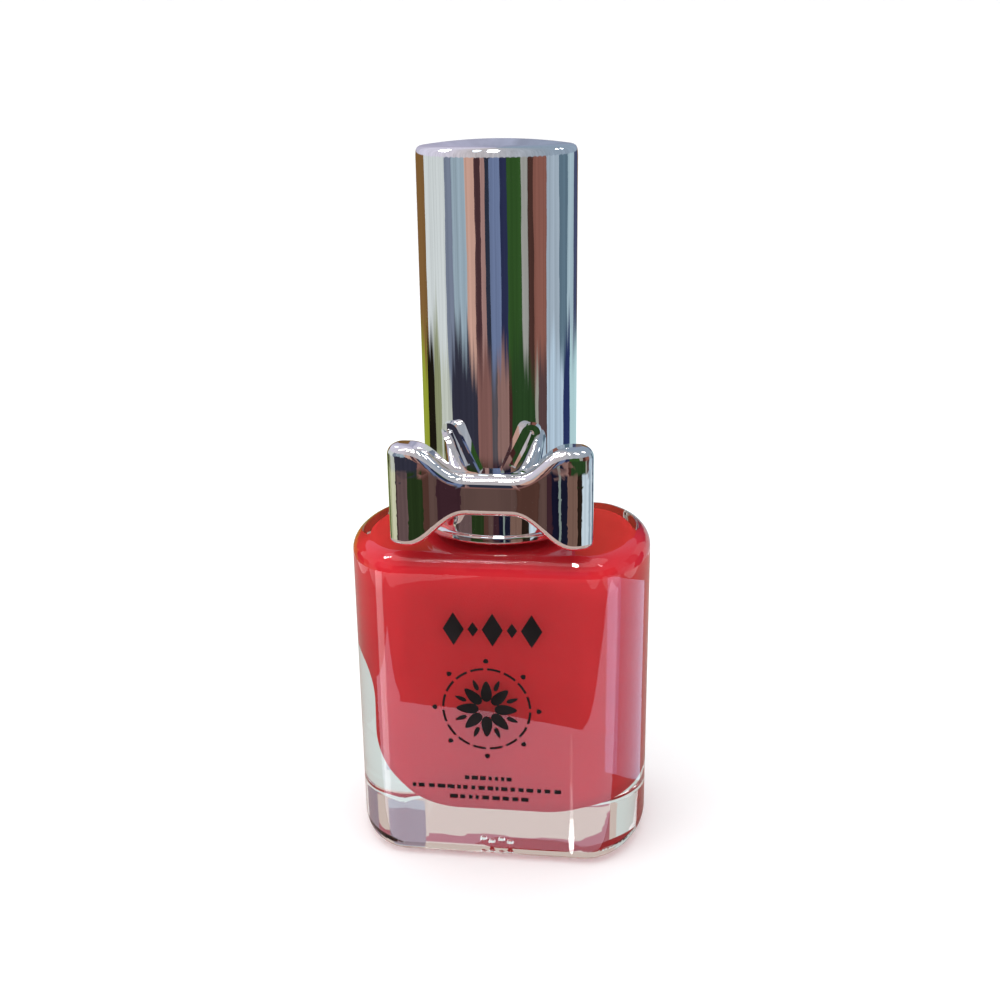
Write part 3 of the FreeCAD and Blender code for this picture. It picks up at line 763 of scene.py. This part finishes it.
def make_bristles():
    """Fine filaments, gripped in the stem's hole, spread in the middle and drawn to a round tip."""
    verts, faces = [], []
    count, sides, steps, thick = 170, 5, 14, 0.055
    golden_angle = math.pi * (3 - math.sqrt(5))
    for i in range(count):
        share = math.sqrt((i + 0.5) / count)
        tip = TUFT_TIP + 0.05 + 1.5 * share ** 3 + random.uniform(0, 0.25)
        drift = random.uniform(-0.05, 0.05)
        first = len(verts)
        for s in range(steps + 1):
            z = between(TUFT_TOP - 0.1, tip, s / steps)
            r = (bundle_radius(z) - thick) * share
            a = i * golden_angle + drift * s / steps
            size = thick if s < steps else thick / 2
            for k in range(sides):
                t = math.tau * k / sides
                verts.append((r * math.cos(a) + size * math.cos(t), r * math.sin(a) + size * math.sin(t), z))
        for s in range(steps):
            for k in range(sides):
                j = (k + 1) % sides
                low, high = first + s * sides, first + (s + 1) * sides
                faces.append((low + k, low + j, high + j, high + k))
        faces.append(tuple(first + k for k in range(sides)))
        faces.append(tuple(first + steps * sides + k for k in reversed(range(sides))))
    nylon = plastic_material("nylon", (0.015, 0.012, 0.014), (0.045, 0.04, 0.042), 0.32, 3500, 0.000004)
    obj = add_mesh("bristles", verts, faces, True, nylon)
    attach(obj, "brush")
    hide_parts("bristle_tuft")


def ripple(bearing, z, phase):
    return math.sin(9 * bearing + 1.3 * z + phase) + 0.6 * math.sin(23 * bearing - 0.7 * z + 2 * phase)


def bristle_film(bearings):
    """Lacquer that clings to the bristles, thick at the tip, with an uneven upper edge."""
    top, tip, steps = 17.0, 6.85, 24
    rings = []
    for s in range(steps + 1):
        share = s / steps
        swell = 0.04 + 0.07 * share if share < 1 else 0
        ring = []
        for b in bearings:
            edge = top - 0.5 * ripple(b, 0, 1.0) * (1 - share)
            z = between(edge, tip, math.sin(share * math.pi / 2))
            r = (bundle_radius(z) + swell) * (1 + 0.018 * ripple(b, z, 0.4) * (1 - share))
            r *= math.sqrt(max(1 - share ** 6, 0.0001))
            ring.append((r * math.cos(b), r * math.sin(b), z))
        rings.append(ring)
    return loft(rings)


def stem_film(bearings):
    """A thinner coat up the stem, sunk a little into it, with an uneven upper edge."""
    steps, sunk = 12, -0.03
    rings = []
    for inner in (False, True):
        for s in range(steps + 1):
            share = 1 - s / steps if inner else s / steps
            ring = []
            for b in bearings:
                edge = 30.0 + 1.3 * math.sin(2 * b + 0.7) + 0.5 * math.sin(5 * b)
                z = between(STEM_TIP + 0.05, edge, share)
                stem = between(STEM_TIP_R, STEM_TOP_R, (z - STEM_TIP) / (STEM_TOP - STEM_TIP))
                coat = 0.01 + 0.06 * (1 - share) + 0.02 * math.sin(math.pi * share) * math.sin(3 * b)
                r = stem + (sunk if inner else coat)
                ring.append((r * math.cos(b), r * math.sin(b), z))
            rings.append(ring)
    rings.append(rings[0])
    return loft(rings, False, False)


def make_brush_film():
    """The two coats of lacquer on the brush."""
    bearings = [math.tau * k / 72 for k in range(72)]
    wet = lacquer_material("lacquer_film", 0.5)
    for name, film in (("bristle_film", bristle_film), ("stem_film", stem_film)):
        verts, faces = film(bearings)
        obj = add_mesh(name, verts, faces, True, wet)
        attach(obj, "brush")


# ---------------------------------------------------------------- pieces that keep their CAD shape
def finish_cad_nodes():
    cap_dark, cap_light = (0.012,) * 3, (0.022,) * 3
    stem_dark, stem_light = (0.010,) * 3, (0.018,) * 3
    foam_dark, foam_light = (0.74, 0.74, 0.70), (0.86, 0.86, 0.83)
    steel = metal_material("steel", (0.52, 0.53, 0.54), (0.64, 0.65, 0.66), 0.16)
    finishes = {
        "glass_bottle": glass_material(),
        "chrome_overcap": chrome_material("chrome_plating", (0.92, 0.925, 0.935), 0.00004, 0.02, 0.075),
        "bow_ornament": chrome_material("bow_plating", (0.90, 0.895, 0.90), 0.00003, 0.008, 0.035),
        "inner_screw_cap": plastic_material("screw_cap_plastic", cap_dark, cap_light, 0.42, 2500, 0.00001),
        "brush_stem": plastic_material("stem_plastic", stem_dark, stem_light, 0.25, 1800, 0.000006),
        "seal_liner": plastic_material("liner_foam", foam_dark, foam_light, 0.75, 3500, 0.00004),
        "bristle_anchor": metal_material("brass", (0.62, 0.44, 0.16), (0.78, 0.58, 0.24), 0.3),
        "mixing_ball_left": steel,
        "mixing_ball_right": steel,
    }
    for name, finish in finishes.items():
        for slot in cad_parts[name].material_slots:
            slot.material = finish


make_studio()
make_lacquer()
make_print()
make_bristles()
make_brush_film()
finish_cad_nodes()
